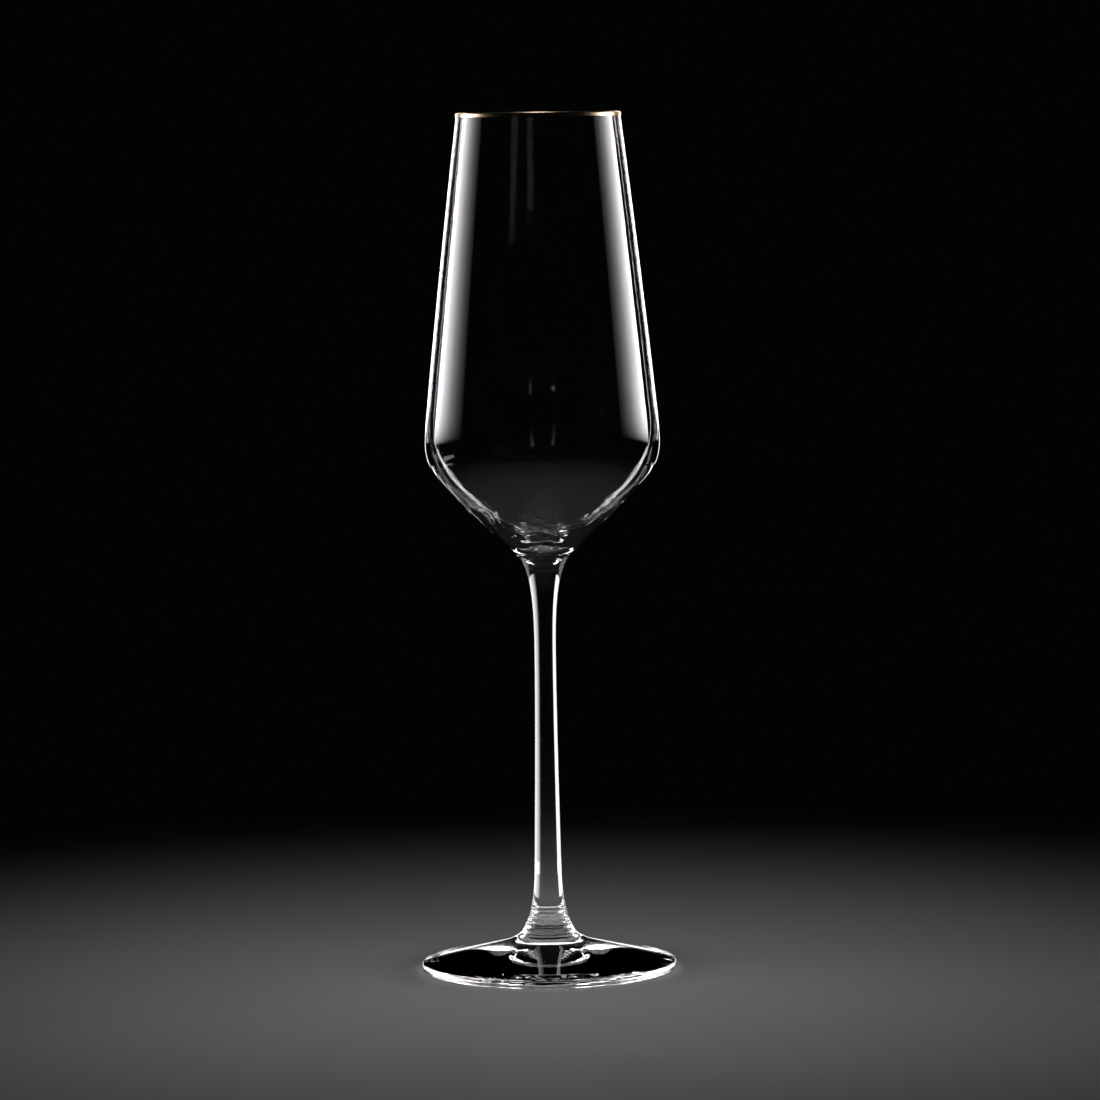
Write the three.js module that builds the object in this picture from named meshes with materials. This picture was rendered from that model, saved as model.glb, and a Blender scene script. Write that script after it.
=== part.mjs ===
import * as THREE from 'three';

// Champagne flute. Millimetres, +Z up, standing on the XY plane with its axis on Z.
// Every piece is turned from one half outline, whose points are (radius, height).

// Driving dimensions
const totalHeight = 230;
const rimRadius = 22.1;               // outside of the wall at the lip
const bellyRadius = 31.35;            // outside of the wall where it leaves the shoulder
const bellyHeight = 149;
const coneTopRadius = 20.2;           // where the lower cone begins to round over
const coneSlope = 0.95;               // rise for each millimetre of radius
const stemTopRadius = 2.93;           // the waist, the thinnest part of the stem
const stemTopHeight = 82;
const stemFootRadius = 3.52;
const stemFootHeight = 36;
const footRadius = 34.4;
const footEdge = 2.3;                 // thickness of the foot's round edge
const footConeRadius = 13;            // where the foot's top begins to sweep up
const footConeHeight = 7.2;

// Planes where the three gathers of glass are fused together
const jointRadius = 7.3;
const bowlJoint = 111.5;
const footJoint = 10;

// Thickness of the glass
const lipWall = 1;
const bellyWall = 1.2;
const coneWall = 1.5;
const cavityFloor = 115;              // solid glass below this
const floorBend = 10.5;               // radius to which the inner cone reaches as it rounds into the floor
const floorReach = 4;                 // radius to which the flat middle of the floor reaches

// Fired gold over the lip
const goldThickness = 0.1;
const goldOutside = totalHeight - 1.25;
const goldInside = totalHeight - 0.7;

// Underside of the foot: a flat ring to stand on, round a shallow kick
const ringInnerRadius = 29;
const kickHeight = 0.9;

const turnSegments = 48;
const curveSteps = 6;
const lipSteps = 3;

const lipCentre = new THREE.Vector2(rimRadius - lipWall / 2, totalHeight - lipWall / 2);
const upperWallLean = 0.127;          // radius gained for each millimetre below the lip
const wallBulge = 0.46;               // how far the long wall's handle stands out of its chord

// How far the handles of the shoulder's curve reach, outside and inside
const shoulderReach = 12.2;
const innerShoulderReach = 9.4;
const bellyHandle = new THREE.Vector2(1.15, -11.9);
const innerBellyHandle = new THREE.Vector2(0.95, -10.6);

// Handles of the stem's curve, from the foot upwards
const stemHandles = [
  new THREE.Vector2(3.2, 16.8),
  new THREE.Vector2(3.8, 26.3),
  new THREE.Vector2(3.3, 48),
  new THREE.Vector2(stemTopRadius, 70),
  new THREE.Vector2(stemTopRadius, 91.4),
  new THREE.Vector2(2.6, 107.1),
];
const footFlareHandle = new THREE.Vector2(8.6, 8.4);
const kickReach = 0.6;                // the kick's flat part as a share of the ring's radius

const crystal = new THREE.MeshStandardMaterial({ color: 0xeef2f4, roughness: 0.03, metalness: 0 });
const firedGold = new THREE.MeshStandardMaterial({ color: 0xd6b27a, roughness: 0.22, metalness: 1 });

function wallRadius(height) {
  return rimRadius + upperWallLean * (lipCentre.y - height);
}

function outerCone(radius) {
  return bowlJoint + coneSlope * (radius - jointRadius);
}

function turned(name, outline, material) {
  const geometry = new THREE.LatheGeometry(outline, turnSegments);
  geometry.rotateX(Math.PI / 2);
  const mesh = new THREE.Mesh(geometry, material);
  mesh.name = name;
  return mesh;
}

// The lip is a half round. This line follows it at a depth under its surface, from the
// gold's lower edge outside, over the top, to the gold's lower edge inside.
function lipLine(depth) {
  const path = new THREE.Path();
  path.moveTo(wallRadius(goldOutside) - depth, goldOutside);
  path.lineTo(rimRadius - depth, lipCentre.y);
  path.absarc(lipCentre.x, lipCentre.y, lipWall / 2 - depth, 0, Math.PI, false);
  path.lineTo(wallRadius(goldInside) - lipWall + depth, goldInside);
  return path.getPoints(lipSteps);
}

function makeBowl() {
  const outside = new THREE.Path();
  outside.moveTo(0, bowlJoint);
  outside.lineTo(jointRadius, bowlJoint);
  outside.lineTo(coneTopRadius, outerCone(coneTopRadius));
  outside.bezierCurveTo(
    coneTopRadius + shoulderReach, outerCone(coneTopRadius + shoulderReach),
    bellyRadius + bellyHandle.x, bellyHeight + bellyHandle.y,
    bellyRadius, bellyHeight,
  );
  const wallTop = wallRadius(goldOutside);
  outside.quadraticCurveTo(
    (bellyRadius + wallTop) / 2 + wallBulge, (bellyHeight + goldOutside) / 2,
    wallTop, goldOutside,
  );

  const inside = new THREE.Path();
  const innerTop = wallRadius(goldInside) - lipWall;
  const innerBelly = bellyRadius - bellyWall;
  const innerCone = (radius) => outerCone(radius) + coneWall * Math.hypot(1, coneSlope);
  inside.moveTo(innerTop, goldInside);
  inside.quadraticCurveTo(
    (innerTop + innerBelly) / 2 + wallBulge, (goldInside + bellyHeight) / 2,
    innerBelly, bellyHeight,
  );
  inside.bezierCurveTo(
    innerBelly + innerBellyHandle.x, bellyHeight + innerBellyHandle.y,
    coneTopRadius + innerShoulderReach, innerCone(coneTopRadius + innerShoulderReach),
    coneTopRadius, innerCone(coneTopRadius),
  );
  inside.bezierCurveTo(floorBend, innerCone(floorBend), floorReach, cavityFloor, 0, cavityFloor);

  return turned('bowl', [
    ...outside.getPoints(curveSteps),
    ...lipLine(goldThickness),
    ...inside.getPoints(curveSteps),
  ], crystal);
}

function makeGoldRim() {
  const skin = lipLine(0);
  return turned('gold_rim', [...skin, ...lipLine(goldThickness).reverse(), skin[0]], firedGold);
}

function makeStem() {
  const outline = new THREE.Path();
  outline.moveTo(0, footJoint);
  outline.lineTo(jointRadius, footJoint);
  const ends = [
    new THREE.Vector2(stemFootRadius, stemFootHeight),
    new THREE.Vector2(stemTopRadius, stemTopHeight),
    new THREE.Vector2(jointRadius, bowlJoint),
  ];
  ends.forEach((end, i) => {
    const leaving = stemHandles[2 * i];
    const arriving = stemHandles[2 * i + 1];
    outline.bezierCurveTo(leaving.x, leaving.y, arriving.x, arriving.y, end.x, end.y);
  });
  outline.lineTo(0, bowlJoint);
  return turned('stem', outline.getPoints(curveSteps), crystal);
}

function makeFoot() {
  const edge = footEdge / 2;
  const edgeCentre = new THREE.Vector2(footRadius - edge, edge);
  const topSlope = Math.atan2(footConeHeight - footEdge, edgeCentre.x - footConeRadius);
  const outline = new THREE.Path();
  outline.moveTo(0, kickHeight);
  outline.quadraticCurveTo(ringInnerRadius * kickReach, kickHeight, ringInnerRadius, 0);
  outline.lineTo(edgeCentre.x, 0);
  outline.absarc(edgeCentre.x, edgeCentre.y, edge, -Math.PI / 2, Math.PI / 2 - topSlope, false);
  outline.lineTo(footConeRadius, footConeHeight);
  outline.quadraticCurveTo(footFlareHandle.x, footFlareHandle.y, jointRadius, footJoint);
  outline.lineTo(0, footJoint);
  return turned('foot', outline.getPoints(curveSteps), crystal);
}

const flute = new THREE.Group();
flute.add(makeFoot(), makeStem(), makeBowl(), makeGoldRim());

export default flute;
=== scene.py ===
import math
import bpy
from mathutils import Matrix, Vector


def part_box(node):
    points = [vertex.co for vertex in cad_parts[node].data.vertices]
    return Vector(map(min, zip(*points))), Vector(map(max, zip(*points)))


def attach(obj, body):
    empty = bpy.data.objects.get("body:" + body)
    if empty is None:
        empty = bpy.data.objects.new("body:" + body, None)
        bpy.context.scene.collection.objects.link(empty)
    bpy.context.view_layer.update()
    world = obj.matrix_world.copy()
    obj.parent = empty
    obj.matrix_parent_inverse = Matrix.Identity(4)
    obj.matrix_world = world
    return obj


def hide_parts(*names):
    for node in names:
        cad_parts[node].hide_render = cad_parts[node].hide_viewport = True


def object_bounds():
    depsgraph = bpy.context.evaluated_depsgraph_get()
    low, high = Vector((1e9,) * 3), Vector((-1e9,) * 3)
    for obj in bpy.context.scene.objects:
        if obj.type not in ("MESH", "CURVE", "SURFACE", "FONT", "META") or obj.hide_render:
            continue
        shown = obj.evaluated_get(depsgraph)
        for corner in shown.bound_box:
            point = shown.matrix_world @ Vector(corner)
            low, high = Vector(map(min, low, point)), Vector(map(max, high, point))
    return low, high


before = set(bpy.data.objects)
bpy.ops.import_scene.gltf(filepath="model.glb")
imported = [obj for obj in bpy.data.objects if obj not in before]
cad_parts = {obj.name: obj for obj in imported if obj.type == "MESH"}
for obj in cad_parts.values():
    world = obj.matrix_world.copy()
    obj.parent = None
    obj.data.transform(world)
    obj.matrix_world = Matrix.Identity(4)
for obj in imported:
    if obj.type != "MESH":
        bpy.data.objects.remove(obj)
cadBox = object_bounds()
mm = 0.001

# heights and radii that the pieces share, in millimetres
glassHeight = cadBox[1].z / mm
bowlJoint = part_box("bowl")[0].z / mm
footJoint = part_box("foot")[1].z / mm
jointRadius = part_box("stem")[1].x / mm
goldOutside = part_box("gold_rim")[0].z / mm
noJoint = -1000.0   # a height that no piece reaches


class Wire:
    # an output socket; sums and products of wires become Math nodes
    def __init__(self, tree, socket):
        self.tree = tree
        self.socket = socket

    def combine(self, operation, first, second, clamp=False):
        node = self.tree.nodes.new("ShaderNodeMath")
        node.operation = operation
        node.use_clamp = clamp
        for slot, value in zip(node.inputs, (first, second)):
            if isinstance(value, Wire):
                self.tree.links.new(value.socket, slot)
            else:
                slot.default_value = value
        return Wire(self.tree, node.outputs[0])

    def __add__(self, other):
        return self.combine("ADD", self, other)

    def __radd__(self, other):
        return self.combine("ADD", other, self)

    def __sub__(self, other):
        return self.combine("SUBTRACT", self, other)

    def __rsub__(self, other):
        return self.combine("SUBTRACT", other, self)

    def __mul__(self, other):
        return self.combine("MULTIPLY", self, other)

    def __rmul__(self, other):
        return self.combine("MULTIPLY", other, self)

    def __truediv__(self, other):
        return self.combine("DIVIDE", self, other)

    def __rtruediv__(self, other):
        return self.combine("DIVIDE", other, self)

    def __gt__(self, other):
        return self.combine("GREATER_THAN", self, other)

    def __lt__(self, other):
        return self.combine("LESS_THAN", self, other)

    def applied(self, operation, second=0.0):
        return self.combine(operation, self, second)

    def clamped(self):
        return self.combine("ADD", self, 0.0, clamp=True)

    def output(self, name):
        return Wire(self.tree, self.socket.node.outputs[name])


class Tree:
    # one node tree and the one way to add a node to it
    def __init__(self, nodeTree):
        self.tree = nodeTree

    def add(self, kind, settings=None, inputs=None, output=0):
        node = self.tree.nodes.new(kind)
        for name, value in (settings or {}).items():
            if name == "stops":
                self.setStops(node.color_ramp, value)
            else:
                setattr(node, name, value)
        for name, value in (inputs or {}).items():
            slot = node.inputs[name]
            if isinstance(value, Wire):
                self.tree.links.new(value.socket, slot)
            else:
                slot.default_value = value
        return Wire(self.tree, node.outputs[output]) if node.outputs else None

    def setStops(self, ramp, stops):
        while len(ramp.elements) > 1:
            ramp.elements.remove(ramp.elements[-1])
        for count, (place, colour) in enumerate(stops):
            stop = ramp.elements[0] if count == 0 else ramp.elements.new(place)
            stop.position = place
            stop.color = (*colour, 1.0)

    def parts(self, vector):
        across = self.add("ShaderNodeSeparateXYZ", {}, {"Vector": vector}, "X")
        return across, across.output("Y"), across.output("Z")


def newMaterial(name):
    material = bpy.data.materials.new(name)
    material.use_nodes = True
    material.node_tree.nodes.clear()
    return material, Tree(material.node_tree)


def band(value, low, high, fade):
    # one between low and high, falling to nothing over the fade at each end
    return ((value - low) / fade).clamped() * ((high - value) / fade).clamped()


# how the glass is finished; lengths are in metres
glassLook = {
    "ior": 1.52,
    "clear": (1.0, 1.0, 1.0), "faintTint": (0.985, 0.992, 0.994),
    "tintScale": 45.0, "smearScale": 180.0, "smearGain": 2.2, "smearCut": 0.9, "smearRoughness": 0.012,
    # slow swirls in the thick glass at the bottom of the bowl
    "swirlFrom": 0.112, "swirlTo": 0.128, "swirlFade": 0.005, "swirlScale": 170.0, "swirlTwist": 1.2,
    "swirlDepth": 0.00025,
    # fine turning marks where the stem flares into the foot
    "markFrom": 0.0075, "markTo": 0.0165, "markFade": 0.002, "markPitch": 0.0013, "markDepth": 0.00005,
    # uneven fire polish round the foot's edge
    "edgeFrom": 0.030, "edgeTo": 0.040, "edgeFade": 0.002, "edgeScale": 160.0, "edgeDepth": 0.0005,
    # etched points at the bottom of the bowl, where the bubbles start
    "etchedRadius": 0.0016, "etchedLow": 0.1145, "etchedHigh": 0.1158, "etchedScale": 2600.0,
    "etchedSize": 0.34, "etchedRoughness": 0.55,
}


def makeGlass():
    look = glassLook
    material, tree = newMaterial("clearCrystal")
    place = tree.add("ShaderNodeTexCoord", output="Object")
    across, along, up = tree.parts(place)
    radius = (across * across + along * along).applied("SQRT")

    cloud = tree.add("ShaderNodeTexNoise", {}, {"Vector": place, "Scale": look["tintScale"], "Detail": 3.0})
    tint = tree.add("ShaderNodeValToRGB", {"stops": [(0.35, look["faintTint"]), (0.65, look["clear"])]},
                    {"Fac": cloud})
    smear = tree.add("ShaderNodeTexNoise", {}, {"Vector": place, "Scale": look["smearScale"], "Detail": 4.0})
    points = tree.add("ShaderNodeTexVoronoi", {}, {"Vector": place, "Scale": look["etchedScale"]}, "Distance")
    etched = (points < look["etchedSize"]) * (radius < look["etchedRadius"]) * (
        up > look["etchedLow"]) * (up < look["etchedHigh"])
    smeared = (smear * look["smearGain"] - look["smearCut"]).clamped()
    roughness = look["smearRoughness"] * smeared + look["etchedRoughness"] * etched

    swirl = tree.add("ShaderNodeTexNoise", {}, {
        "Vector": place, "Scale": look["swirlScale"], "Detail": 1.0, "Distortion": look["swirlTwist"]})
    swirls = swirl * look["swirlDepth"] * band(up, look["swirlFrom"], look["swirlTo"], look["swirlFade"])
    marks = (up * (2 * math.pi / look["markPitch"])).applied("SINE") * look["markDepth"] * band(
        up, look["markFrom"], look["markTo"], look["markFade"])
    ripple = tree.add("ShaderNodeTexNoise", {}, {"Vector": place, "Scale": look["edgeScale"], "Detail": 1.0})
    onEdge = band(radius, look["edgeFrom"], look["edgeTo"], look["edgeFade"]) * (up < look["markFrom"])
    ripples = ripple * look["edgeDepth"] * onEdge
    shape = tree.add("ShaderNodeBump", {}, {"Height": swirls + marks + ripples, "Distance": 1.0})

    surface = tree.add("ShaderNodeBsdfPrincipled", {}, {
        "Base Color": tint, "Roughness": roughness, "IOR": look["ior"], "Transmission Weight": 1.0,
        "Normal": shape})
    tree.add("ShaderNodeOutputMaterial", {}, {"Surface": surface})
    return material


def makeFusedJoint():
    # the glass runs on through a joint, so its two faces show nothing
    material, tree = newMaterial("fusedJoint")
    clear = tree.add("ShaderNodeBsdfTransparent", {}, {"Color": (1.0, 1.0, 1.0, 1.0)})
    tree.add("ShaderNodeOutputMaterial", {}, {"Surface": clear})
    return material


# how the gold is finished; lengths are in metres
goldLook = {
    "rich": (0.80, 0.57, 0.35), "pale": (0.93, 0.76, 0.55),
    "cloudScale": 260.0, "smooth": 0.14, "worn": 0.32, "brushScale": 1400.0, "brushDepth": 0.00001,
}


def makeGold():
    look = goldLook
    material, tree = newMaterial("firedGold")
    place = tree.add("ShaderNodeTexCoord", output="Object")
    cloud = tree.add("ShaderNodeTexNoise", {}, {"Vector": place, "Scale": look["cloudScale"], "Detail": 5.0})
    colour = tree.add("ShaderNodeValToRGB", {"stops": [(0.35, look["rich"]), (0.7, look["pale"])]},
                      {"Fac": cloud})
    roughness = look["smooth"] + (look["worn"] - look["smooth"]) * cloud
    brush = tree.add("ShaderNodeTexNoise", {}, {"Vector": place, "Scale": look["brushScale"], "Detail": 2.0})
    shape = tree.add("ShaderNodeBump", {}, {"Height": brush * look["brushDepth"], "Distance": 1.0})
    surface = tree.add("ShaderNodeBsdfPrincipled", {}, {
        "Base Color": colour, "Roughness": roughness, "Metallic": 1.0, "Normal": shape})
    tree.add("ShaderNodeOutputMaterial", {}, {"Surface": surface})
    return material


def makeSpinTree():
    # spins a flat outline, drawn as (radius, height), into a closed solid of revolution
    creaseAngle = 0.45
    weldDistance = 0.000002
    jointReach = 0.000005
    axisFade = 0.004
    tree = bpy.data.node_groups.new("spinOutline", "GeometryNodeTree")
    face = tree.interface
    face.new_socket("Outline", in_out="INPUT", socket_type="NodeSocketGeometry")
    face.new_socket("Facets", in_out="INPUT", socket_type="NodeSocketInt")
    for name in ("Lower joint", "Upper joint", "Wave depth", "Wave size", "Wave from", "Wave to", "Wave fade",
                 "Seed"):
        face.new_socket(name, in_out="INPUT", socket_type="NodeSocketFloat")
    face.new_socket("Finish", in_out="INPUT", socket_type="NodeSocketMaterial")
    face.new_socket("Joint finish", in_out="INPUT", socket_type="NodeSocketMaterial")
    face.new_socket("Solid", in_out="OUTPUT", socket_type="NodeSocketGeometry")

    add = Tree(tree).add
    given = add("NodeGroupInput")
    outline = given.output("Outline")
    facets = given.output("Facets")

    points = add("GeometryNodeCurveToPoints", {"mode": "EVALUATED"}, {"Curve": outline}, "Points")
    count = add("GeometryNodeAttributeDomainSize", {"component": "POINTCLOUD"}, {"Geometry": points},
                "Point Count")
    sheet = add("GeometryNodeMeshGrid", {}, {
        "Size X": 1.0, "Size Y": 1.0, "Vertices X": facets + 1.0, "Vertices Y": count}, "Mesh")
    index = add("GeometryNodeInputIndex")
    step = index.applied("MODULO", count)
    turn = ((index + 0.5) / count).applied("FLOOR")
    drawn = add("GeometryNodeSampleIndex", {"data_type": "FLOAT_VECTOR", "domain": "POINT"},
                {"Geometry": points, "Value": add("GeometryNodeInputPosition"), "Index": step})
    radius = add("ShaderNodeSeparateXYZ", {}, {"Vector": drawn}, "X")
    height = radius.output("Y")
    angle = turn.applied("MODULO", facets) * (2 * math.pi) / facets
    cosine = angle.applied("COSINE")
    sine = angle.applied("SINE")

    still = add("ShaderNodeCombineXYZ", {}, {"X": radius * cosine, "Y": radius * sine, "Z": height})
    noise = add("ShaderNodeTexNoise", {"noise_dimensions": "4D"}, {
        "Vector": still, "W": given.output("Seed"), "Scale": 1.0 / given.output("Wave size"), "Detail": 0.0})
    shore = band(height, given.output("Wave from"), given.output("Wave to"), given.output("Wave fade"))
    wave = (noise - 0.5) * given.output("Wave depth") * shore * (radius / axisFade).clamped()
    wide = radius + wave
    place = add("ShaderNodeCombineXYZ", {}, {"X": wide * cosine, "Y": wide * sine, "Z": height})

    spun = add("GeometryNodeSetPosition", {}, {"Geometry": sheet, "Position": place})
    whole = add("GeometryNodeMergeByDistance", {}, {"Geometry": spun, "Distance": weldDistance})
    smooth = add("GeometryNodeSetShadeSmooth", {"domain": "FACE"}, {"Geometry": whole, "Shade Smooth": True})
    bend = add("GeometryNodeInputMeshEdgeAngle", {}, {}, "Unsigned Angle")
    creased = add("GeometryNodeSetShadeSmooth", {"domain": "EDGE"}, {
        "Geometry": smooth, "Selection": bend > creaseAngle, "Shade Smooth": False})
    realized = add("GeometryNodeRealizeInstances", {}, {"Geometry": creased})
    finished = add("GeometryNodeSetMaterial", {}, {"Geometry": realized, "Material": given.output("Finish")})
    up = add("ShaderNodeSeparateXYZ", {}, {"Vector": add("GeometryNodeInputPosition")}, "Z")
    onJoint = ((up - given.output("Lower joint")).applied("ABSOLUTE") < jointReach) + (
        (up - given.output("Upper joint")).applied("ABSOLUTE") < jointReach)
    joined = add("GeometryNodeSetMaterial", {}, {
        "Geometry": finished, "Selection": onJoint > 0.5, "Material": given.output("Joint finish")})
    add("NodeGroupOutput", {}, {"Solid": joined})
    return tree


def drawOutline(name, start, strokes, steps):
    # a stroke is an end point, or two handles and an end point, in millimetres (radius, height)
    curve = bpy.data.curves.new(name, "CURVE")
    curve.dimensions = "2D"
    spline = curve.splines.new("BEZIER")
    spline.bezier_points.add(len(strokes))
    spline.resolution_u = steps
    points = spline.bezier_points
    for point, (across, up) in zip(points, [start] + [stroke[-1] for stroke in strokes]):
        point.co = (across * mm, up * mm, 0.0)
        point.handle_left_type = point.handle_right_type = "VECTOR"
    for leaving, arriving, stroke in zip(points, points[1:], strokes):
        if len(stroke) == 3:
            leaving.handle_right_type = arriving.handle_left_type = "FREE"
            leaving.handle_right = (stroke[0][0] * mm, stroke[0][1] * mm, 0.0)
            arriving.handle_left = (stroke[1][0] * mm, stroke[1][1] * mm, 0.0)
    outline = bpy.data.objects.new(name, curve)
    bpy.context.scene.collection.objects.link(outline)
    return outline


def spinPiece(name, outline, tree, values):
    modifier = outline.modifiers.new("spin", "NODES")
    modifier.node_group = tree
    for item in tree.interface.items_tree:
        if item.in_out == "INPUT" and item.name in values:
            modifier[item.identifier] = values[item.name]
    graph = bpy.context.evaluated_depsgraph_get()
    mesh = bpy.data.meshes.new_from_object(outline.evaluated_get(graph), depsgraph=graph)
    mesh.name = name
    piece = bpy.data.objects.new(name, mesh)
    bpy.context.scene.collection.objects.link(piece)
    outline.modifiers.remove(modifier)
    bpy.data.objects.remove(outline)
    print("made", name, len(mesh.polygons), "faces")
    return piece


def arc(centre, radius, fromAngle, toAngle, pieces):
    # a round stretch as strokes with the usual circle handles, angles in degrees
    strokes = []
    step = math.radians(toAngle - fromAngle) / pieces
    reach = 4 / 3 * math.tan(step / 4) * radius
    for count in range(pieces):
        a = math.radians(fromAngle) + step * count
        b = a + step
        first = (centre[0] + radius * math.cos(a), centre[1] + radius * math.sin(a))
        last = (centre[0] + radius * math.cos(b), centre[1] + radius * math.sin(b))
        leaving = (first[0] - reach * math.sin(a), first[1] + reach * math.cos(a))
        arriving = (last[0] + reach * math.sin(b), last[1] - reach * math.cos(b))
        strokes.append((leaving, arriving, last))
    return strokes


def between(first, last, share):
    return (first[0] + (last[0] - first[0]) * share, first[1] + (last[1] - first[1]) * share)


def bend(first, handle, last):
    # a stroke with one shared handle
    return (between(first, handle, 2 / 3), between(last, handle, 2 / 3), last)


# the bowl, in millimetres; a handle is an offset from the end it belongs to
bowlShape = {
    "rimRadius": 22.1, "lipWall": 1.0, "wallLean": 0.127, "wallBulge": 0.46,
    "bellyRadius": 31.35, "bellyHeight": 149.0, "bellyWall": 1.2,
    "bellyHandle": (1.15, -11.9), "innerBellyHandle": (0.95, -10.6),
    "coneTopRadius": 20.2, "coneSlope": 0.95, "coneWall": 1.5,
    "shoulderReach": 12.2, "innerShoulderReach": 9.4,
    "cavityFloor": 115.0, "floorBend": 10.5, "floorReach": 4.0,
    "goldThickness": 0.1, "goldInside": 229.3,
    "facets": 192, "steps": 24, "goldSteps": 8,
    "waveDepth": 0.08, "waveSize": 24.0, "waveTop": 214.0, "waveFade": 12.0, "seed": 3.7,
}
lipCentre = (bowlShape["rimRadius"] - bowlShape["lipWall"] / 2, glassHeight - bowlShape["lipWall"] / 2)


def wallRadius(height):
    return bowlShape["rimRadius"] + bowlShape["wallLean"] * (lipCentre[1] - height)


def coneHeight(radius, inset=0.0):
    slope = bowlShape["coneSlope"]
    return bowlJoint + slope * (radius - jointRadius) + inset * math.hypot(1, slope)


def lipStrokes(depth):
    # over the lip at a depth under its surface, from the gold's outer edge to its inner edge
    wall = bowlShape["lipWall"]
    goldInside = bowlShape["goldInside"]
    start = (wallRadius(goldOutside) - depth, goldOutside)
    strokes = [((bowlShape["rimRadius"] - depth, lipCentre[1]),)]
    strokes += arc(lipCentre, wall / 2 - depth, 0, 180, 2)
    strokes.append(((wallRadius(goldInside) - wall + depth, goldInside),))
    return start, strokes


def makeBowl(tree, glass, joint):
    s = bowlShape
    coneTop = (s["coneTopRadius"], coneHeight(s["coneTopRadius"]))
    shoulder = s["coneTopRadius"] + s["shoulderReach"]
    belly = (s["bellyRadius"], s["bellyHeight"])
    bellyHandle = (belly[0] + s["bellyHandle"][0], belly[1] + s["bellyHandle"][1])
    wallTop = (wallRadius(goldOutside), goldOutside)
    middle = between(belly, wallTop, 1 / 2)

    innerTop = (wallRadius(s["goldInside"]) - s["lipWall"], s["goldInside"])
    innerBelly = (s["bellyRadius"] - s["bellyWall"], s["bellyHeight"])
    innerMiddle = between(innerTop, innerBelly, 1 / 2)
    innerHandle = (innerBelly[0] + s["innerBellyHandle"][0], innerBelly[1] + s["innerBellyHandle"][1])
    innerShoulder = s["coneTopRadius"] + s["innerShoulderReach"]
    innerCone = (s["coneTopRadius"], coneHeight(s["coneTopRadius"], s["coneWall"]))
    floorBend = (s["floorBend"], coneHeight(s["floorBend"], s["coneWall"]))

    lipStart, lip = lipStrokes(s["goldThickness"])
    strokes = [
        ((jointRadius, bowlJoint),),
        (coneTop,),
        ((shoulder, coneHeight(shoulder)), bellyHandle, belly),
        bend(belly, (middle[0] + s["wallBulge"], middle[1]), wallTop),
        (lipStart,), *lip, (innerTop,),
        bend(innerTop, (innerMiddle[0] + s["wallBulge"], innerMiddle[1]), innerBelly),
        (innerHandle, (innerShoulder, coneHeight(innerShoulder, s["coneWall"])), innerCone),
        (floorBend, (s["floorReach"], s["cavityFloor"]), (0.0, s["cavityFloor"])),
    ]
    outline = drawOutline("bowlOutline", (0.0, bowlJoint), strokes, s["steps"])
    return spinPiece("crystalBowl", outline, tree, {
        "Facets": s["facets"], "Lower joint": bowlJoint * mm, "Upper joint": noJoint,
        "Wave depth": s["waveDepth"] * mm, "Wave size": s["waveSize"] * mm,
        "Wave from": s["cavityFloor"] * mm, "Wave to": s["waveTop"] * mm, "Wave fade": s["waveFade"] * mm,
        "Seed": s["seed"],
        "Finish": glass, "Joint finish": joint})


def makeGoldLine(tree, gold, joint):
    s = bowlShape
    start, outer = lipStrokes(0.0)
    innerStart, inner = lipStrokes(s["goldThickness"])
    # back along the underside of the film: the same strokes read the other way
    ends = [innerStart] + [stroke[-1] for stroke in inner]
    back = [(ends[-1],)]
    for stroke, end in zip(reversed(inner), reversed(ends[:-1])):
        back.append((stroke[1], stroke[0], end) if len(stroke) == 3 else (end,))
    outline = drawOutline("goldOutline", start, [*outer, *back, (start,)], s["goldSteps"])
    return spinPiece("goldLine", outline, tree, {
        "Facets": s["facets"], "Lower joint": noJoint, "Upper joint": noJoint,
        "Wave depth": 0.0, "Wave size": 1.0, "Wave from": 0.0, "Wave to": 1.0, "Wave fade": 1.0, "Seed": 0.0,
        "Finish": gold, "Joint finish": joint})


# the stem, in millimetres (radius, height)
stemShape = {
    "footFlare": ((3.2, 16.8), (3.8, 26.3)), "footEnd": (3.52, 36.0),
    "taper": ((3.3, 48.0), (2.93, 70.0)), "waist": (2.93, 82.0),
    "bowlFlare": ((2.93, 91.4), (2.6, 107.1)),
    "facets": 128, "steps": 48,
    "waveDepth": 0.05, "waveSize": 14.0, "waveFade": 10.0, "seed": 8.2,
}


def makeStem(tree, glass, joint):
    s = stemShape
    strokes = [
        ((jointRadius, footJoint),),
        (*s["footFlare"], s["footEnd"]),
        (*s["taper"], s["waist"]),
        (*s["bowlFlare"], (jointRadius, bowlJoint)),
        ((0.0, bowlJoint),),
    ]
    outline = drawOutline("stemOutline", (0.0, footJoint), strokes, s["steps"])
    return spinPiece("crystalStem", outline, tree, {
        "Facets": s["facets"], "Lower joint": footJoint * mm, "Upper joint": bowlJoint * mm,
        "Wave depth": s["waveDepth"] * mm, "Wave size": s["waveSize"] * mm, "Wave from": footJoint * mm,
        "Wave to": bowlJoint * mm, "Wave fade": s["waveFade"] * mm, "Seed": s["seed"],
        "Finish": glass, "Joint finish": joint})


# the foot, in millimetres
footShape = {
    "radius": 34.4, "edge": 2.3, "coneStart": (13.0, 7.2), "flareHandle": (8.6, 8.4),
    "ringInner": 29.0, "kick": 0.9, "kickReach": 0.6, "facets": 192, "steps": 24,
}


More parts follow.
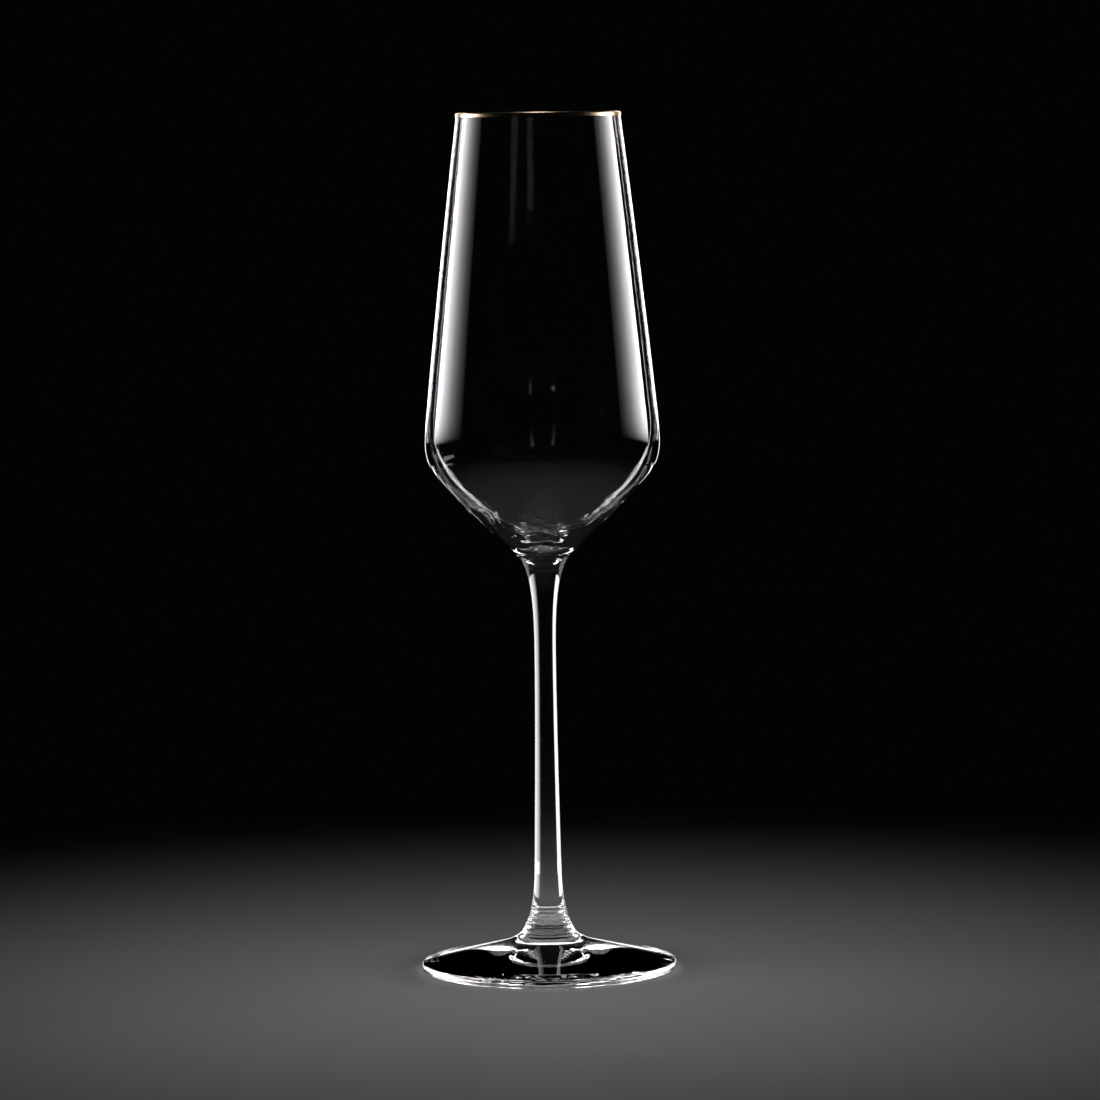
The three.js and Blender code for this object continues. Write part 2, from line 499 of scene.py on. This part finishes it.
def makeFoot(tree, glass, joint):
    s = footShape
    edgeRadius = s["edge"] / 2
    centre = (s["radius"] - edgeRadius, edgeRadius)
    slope = math.degrees(math.atan2(s["coneStart"][1] - s["edge"], centre[0] - s["coneStart"][0]))
    kick = (0.0, s["kick"])
    strokes = [
        bend(kick, (s["ringInner"] * s["kickReach"], s["kick"]), (s["ringInner"], 0.0)),
        ((centre[0], 0.0),),
        *arc(centre, edgeRadius, -90, 90 - slope, 3),
        (s["coneStart"],),
        bend(s["coneStart"], s["flareHandle"], (jointRadius, footJoint)),
        ((0.0, footJoint),),
    ]
    outline = drawOutline("footOutline", kick, strokes, s["steps"])
    return spinPiece("crystalFoot", outline, tree, {
        "Facets": s["facets"], "Lower joint": noJoint, "Upper joint": footJoint * mm,
        "Wave depth": 0.0, "Wave size": 1.0, "Wave from": 0.0, "Wave to": 1.0, "Wave fade": 1.0, "Seed": 0.0,
        "Finish": glass, "Joint finish": joint})


glass = makeGlass()
joint = makeFusedJoint()
gold = makeGold()
print("finishes ready")
spinTree = makeSpinTree()
bowl = makeBowl(spinTree, glass, joint)
goldLine = makeGoldLine(spinTree, gold, joint)
stem = makeStem(spinTree, glass, joint)
foot = makeFoot(spinTree, glass, joint)

for piece, node, slot in ((bowl, "bowl", "clear_crystal"), (stem, "stem", "clear_crystal"),
                          (foot, "foot", "clear_crystal"), (goldLine, "gold_rim", "fired_gold")):
    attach(piece, "root")
    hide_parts(node)
print("pieces riding on the frame")

# a round pale table top, a hair under the foot, and the dark room round it
floorLook = {
    "radius": 0.34, "height": -0.0001, "sides": 128,
    "pale": (0.82, 0.82, 0.81), "shade": (0.76, 0.76, 0.755), "grain": 9.0, "roughness": 0.6, "shine": 0.2,
    "room": 0.001,
}


def makeFloor():
    look = floorLook
    material, tree = newMaterial("paleFloor")
    place = tree.add("ShaderNodeTexCoord", output="Object")
    grain = tree.add("ShaderNodeTexNoise", {}, {"Vector": place, "Scale": look["grain"], "Detail": 6.0})
    colour = tree.add("ShaderNodeValToRGB", {"stops": [(0.3, look["shade"]), (0.7, look["pale"])]},
                      {"Fac": grain})
    surface = tree.add("ShaderNodeBsdfPrincipled", {}, {
        "Base Color": colour, "Roughness": look["roughness"], "Specular IOR Level": look["shine"]})
    tree.add("ShaderNodeOutputMaterial", {}, {"Surface": surface})
    radius = look["radius"]
    turns = [2 * math.pi * count / look["sides"] for count in range(look["sides"])]
    ring = [(radius * math.cos(turn), radius * math.sin(turn), look["height"]) for turn in turns]
    mesh = bpy.data.meshes.new("floor")
    mesh.from_pydata(ring, [], [tuple(range(look["sides"]))])
    mesh.materials.append(material)
    floor = bpy.data.objects.new("floor", mesh)
    bpy.context.scene.collection.objects.link(floor)
    return floor


floor = makeFloor()
world = bpy.data.worlds.new("studio")
world.use_nodes = True
world.node_tree.nodes["Background"].inputs["Color"].default_value = (1.0, 1.0, 1.0, 1.0)
world.node_tree.nodes["Background"].inputs["Strength"].default_value = floorLook["room"]
bpy.context.scene.world = world


def linkedGroup(name, things, state):
    group = bpy.data.collections.new(name)
    for thing in things:
        group.objects.link(thing)
    for member in group.collection_objects:
        member.light_linking.link_state = state
    return group


allButFloor = linkedGroup("allButFloor", [floor], "EXCLUDE")
floorAndGold = linkedGroup("floorAndGold", [floor, goldLine], "INCLUDE")
bowlOnly = linkedGroup("bowlOnly", [bowl, goldLine], "INCLUDE")
stemAndFoot = linkedGroup("stemAndFoot", [stem, foot], "INCLUDE")
stemOnly = linkedGroup("stemOnly", [stem], "INCLUDE")
footOnly = linkedGroup("footOnly", [foot], "INCLUDE")

lightTint = (1.0, 0.97, 1.0)
sharpFoot = 0.001
# brightness across a panel, from its right edge to its left as the glass sees it
sideFade = [(0.0, 0.0), (0.2, 0.08), (0.4, 0.25), (0.6, 0.58), (0.85, 1.0), (1.0, 1.0)]
stemFade = [(0.0, 1.0), (0.3, 0.85), (0.5, 0.7), (0.65, 0.6), (0.8, 0.4), (0.9, 0.15), (1.0, 0.0)]
# bearings are in degrees from straight behind the glass, positive to the right; lengths are in metres;
# lift cuts off a panel's foot at its two edges, in the order of its fade, and softFoot is how gradually
# it does so, both as shares of its height
panels = {
    # these draw the soft bands down the bowl, and show in reflections but not through the glass
    "sidePanelRight": {"bearings": (57, 99), "distance": 0.9, "heights": (0.08, 0.42), "radiance": 12.0,
                       "fade": sideFade, "lift": (0.25, 0.0), "softFoot": 0.3, "reflectedOnly": True,
                       "lit": allButFloor},
    "sidePanelLeft": {"bearings": (-97, -53), "distance": 0.9, "heights": (0.08, 0.42), "radiance": 12.0,
                      "fade": [(1 - place, value) for place, value in reversed(sideFade)],
                      "lift": (0.0, 0.25), "softFoot": 0.3, "reflectedOnly": True, "lit": allButFloor},

    # these two pairs draw the bowl's thin outline, the lower pair round the belly
    "backPanelRight": {"bearings": (21, 27), "distance": 2.0, "heights": (0.08, 1.2), "radiance": 5.0,
                       "lit": bowlOnly},
    "backPanelLeft": {"bearings": (-27, -21), "distance": 2.0, "heights": (0.08, 1.2), "radiance": 5.0,
                      "lit": bowlOnly},
    "bellyPanelRight": {"bearings": (22, 24), "distance": 2.0, "heights": (-0.3, 0.08), "radiance": 5.0,
                        "lit": bowlOnly},
    "bellyPanelLeft": {"bearings": (-24, -22), "distance": 2.0, "heights": (-0.3, 0.08), "radiance": 5.0,
                       "lit": bowlOnly},

    # these draw the bright edges of the stem, up to the bowl and down to where it flares into the foot
    "stemPanelRight": {"bearings": (22, 70), "distance": 0.12, "heights": (0.0, 0.10), "radiance": 1.3,
                       "fade": stemFade, "lit": stemAndFoot},
    "stemPanelLeft": {"bearings": (-70, -33), "distance": 0.12, "heights": (0.0, 0.10), "radiance": 1.3,
                      "lit": stemAndFoot},
    "collarPanelRight": {"bearings": (22, 70), "distance": 0.12, "heights": (0.10, 0.15), "radiance": 1.3,
                         "fade": stemFade, "lit": stemOnly},
    "collarPanelLeft": {"bearings": (-70, -33), "distance": 0.12, "heights": (0.10, 0.15), "radiance": 1.3,
                        "lit": stemOnly},
    "flarePanelRight": {"bearings": (22, 70), "distance": 0.05, "heights": (0.0, 0.02), "radiance": 1.3,
                        "fade": stemFade, "lit": stemOnly},
    "flarePanelLeft": {"bearings": (-70, -33), "distance": 0.05, "heights": (0.0, 0.02), "radiance": 1.3,
                       "lit": stemOnly},

    # these hang lower than the table top and outline the bowl when it is seen from above
    "lowPanelOuter": {"bearings": (-78, -58), "distance": 0.75, "heights": (-0.5, -0.14), "radiance": 1.4,
                      "lit": bowlOnly},
    "lowPanelInner": {"bearings": (-32, -15), "distance": 0.75, "heights": (-0.5, -0.14), "radiance": 1.4,
                      "lit": bowlOnly},

    # these light the foot alone
    "footPanelBack": {"bearings": (-45, 45), "distance": 0.5, "heights": (0.0, 0.04), "radiance": 2.0,
                      "lit": footOnly},
    "footPanelRight": {"bearings": (28, 62), "distance": 0.4, "heights": (0.0, 0.3), "radiance": 5.0,
                       "lit": footOnly},
    "footPanelLeft": {"bearings": (-62, -28), "distance": 0.4, "heights": (0.0, 0.3), "radiance": 5.0,
                      "lit": footOnly},
}


def addPanel(name, look):
    # an upright soft light, out of the camera's sight, that faces the glass
    fromBearing, toBearing = look["bearings"]
    low, high = look["heights"]
    width = 2 * look["distance"] * math.tan(math.radians(toBearing - fromBearing) / 2)
    light = bpy.data.lights.new(name, "AREA")
    light.shape = "RECTANGLE"
    light.size = width
    light.size_y = high - low
    light.color = lightTint
    light.energy = look["radiance"] * math.pi * width * (high - low)   # the same brightness at any size
    if "fade" in look:
        light.use_nodes = True
        light.node_tree.nodes.clear()
        tree = Tree(light.node_tree)
        across, upward = tree.parts(tree.add("ShaderNodeNewGeometry", output="Parametric"))[:2]
        stops = [(place, (value, value, value)) for place, value in look["fade"]]
        ramp = tree.add("ShaderNodeValToRGB", {"stops": stops}, {"Fac": across})
        firstLift, lastLift = look.get("lift", (0.0, 0.0))
        rise = (upward - firstLift - (lastLift - firstLift) * across) / look.get("softFoot", sharpFoot)
        glow = tree.add("ShaderNodeEmission", {}, {"Color": ramp * rise.clamped()})
        tree.add("ShaderNodeOutputLight", {}, {"Surface": glow})
    panel = bpy.data.objects.new(name, light)
    bearing = math.radians((fromBearing + toBearing) / 2)
    distance = look["distance"]
    panel.location = (distance * math.sin(bearing), distance * math.cos(bearing), (low + high) / 2)
    panel.rotation_euler = (math.radians(90), 0, math.radians(180) - bearing)
    panel.visible_camera = False
    panel.visible_transmission = not look.get("reflectedOnly", False)
    panel.light_linking.receiver_collection = look["lit"]
    bpy.context.scene.collection.objects.link(panel)


for name, look in panels.items():
    addPanel(name, look)

# a soft lamp over the glass lights the table top round the foot
lampLook = {"place": (0.0, -0.05, 1.3), "watts": 12.0, "spread": 20.0, "blend": 1.0, "size": 0.15}
lamp = bpy.data.lights.new("tableLamp", "SPOT")
lamp.energy = lampLook["watts"]
lamp.spot_size = math.radians(lampLook["spread"])
lamp.spot_blend = lampLook["blend"]
lamp.shadow_soft_size = lampLook["size"]
tableLamp = bpy.data.objects.new("tableLamp", lamp)
tableLamp.location = lampLook["place"]
tableLamp.light_linking.receiver_collection = floorAndGold
bpy.context.scene.collection.objects.link(tableLamp)
print("table top and lights ready")

# angles in degrees, lengths in metres, the lens in millimetres
cameraLook = {"distance": 1.356, "height": 0.230, "down": 4.93, "pan": 0.07, "roll": 0.76, "lens": 166.4,
              "sensor": 36.0, "near": 0.05, "far": 30.0}
cameraData = bpy.data.cameras.new("camera")
cameraData.lens = cameraLook["lens"]
cameraData.sensor_width = cameraLook["sensor"]
cameraData.clip_start = cameraLook["near"]
cameraData.clip_end = cameraLook["far"]
camera = bpy.data.objects.new("camera", cameraData)
camera.location = (0.0, -cameraLook["distance"], cameraLook["height"])
panned = Matrix.Rotation(math.radians(-cameraLook["pan"]), 3, "Z")
tilted = Matrix.Rotation(math.radians(90 - cameraLook["down"]), 3, "X")
rolled = Matrix.Rotation(math.radians(-cameraLook["roll"]), 3, "Z")
camera.rotation_euler = (panned @ tilted @ rolled).to_euler()
bpy.context.scene.collection.objects.link(camera)
bpy.context.scene.camera = camera
bpy.context.scene.view_settings.view_transform = "Standard"
print("camera ready")
